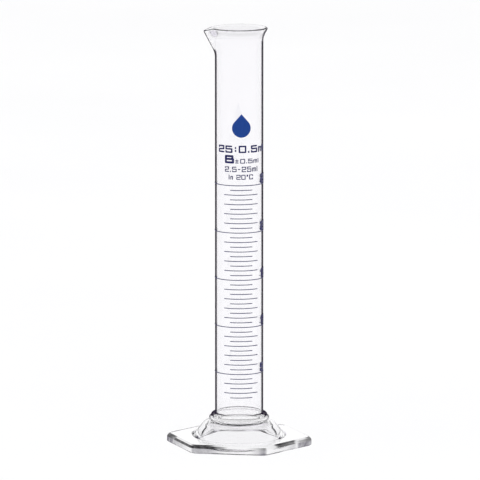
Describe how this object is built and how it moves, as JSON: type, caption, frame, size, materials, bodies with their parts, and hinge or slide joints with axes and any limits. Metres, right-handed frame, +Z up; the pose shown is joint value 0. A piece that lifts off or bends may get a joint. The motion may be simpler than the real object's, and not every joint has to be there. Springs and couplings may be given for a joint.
{
  "type": "graduated cylinder",
  "caption": "Tall clear glass measuring cylinder with a flared spouted mouth, dark-blue enamel scale and a hollow hexagonal foot.",
  "frame": {"origin": "centre of the foot's underside, on the axis of the tube", "axes": "+Z up along the tube, the scale is read from -Y, the spout points to -X"},
  "size_m": [0.0592, 0.0566, 0.1715],
  "materials": {
    "clear_glass": "clear fire-polished borosilicate glass",
    "navy_enamel": "fired-on dark navy enamel, satin gloss",
    "blue_enamel": "fired-on blue enamel, satin gloss"
  },
  "bodies": {
    "root": {"measuring_tube": "clear_glass", "weld_collar": "clear_glass", "hex_foot": "clear_glass", "ring_mark_05": "navy_enamel", "ring_mark_10": "navy_enamel", "ring_mark_15": "navy_enamel", "ring_mark_20": "navy_enamel", "ring_mark_25": "navy_enamel", "numeral_05": "navy_enamel", "numeral_10": "navy_enamel", "numeral_15": "navy_enamel", "numeral_20": "navy_enamel", "numeral_25": "navy_enamel", "millilitre_marks": "navy_enamel", "half_millilitre_marks": "navy_enamel", "capacity_mark": "navy_enamel", "class_mark": "navy_enamel", "tolerance_mark": "navy_enamel", "range_mark": "navy_enamel", "temperature_mark": "navy_enamel", "drop_emblem": "blue_enamel"}
  },
  "joints": []
}
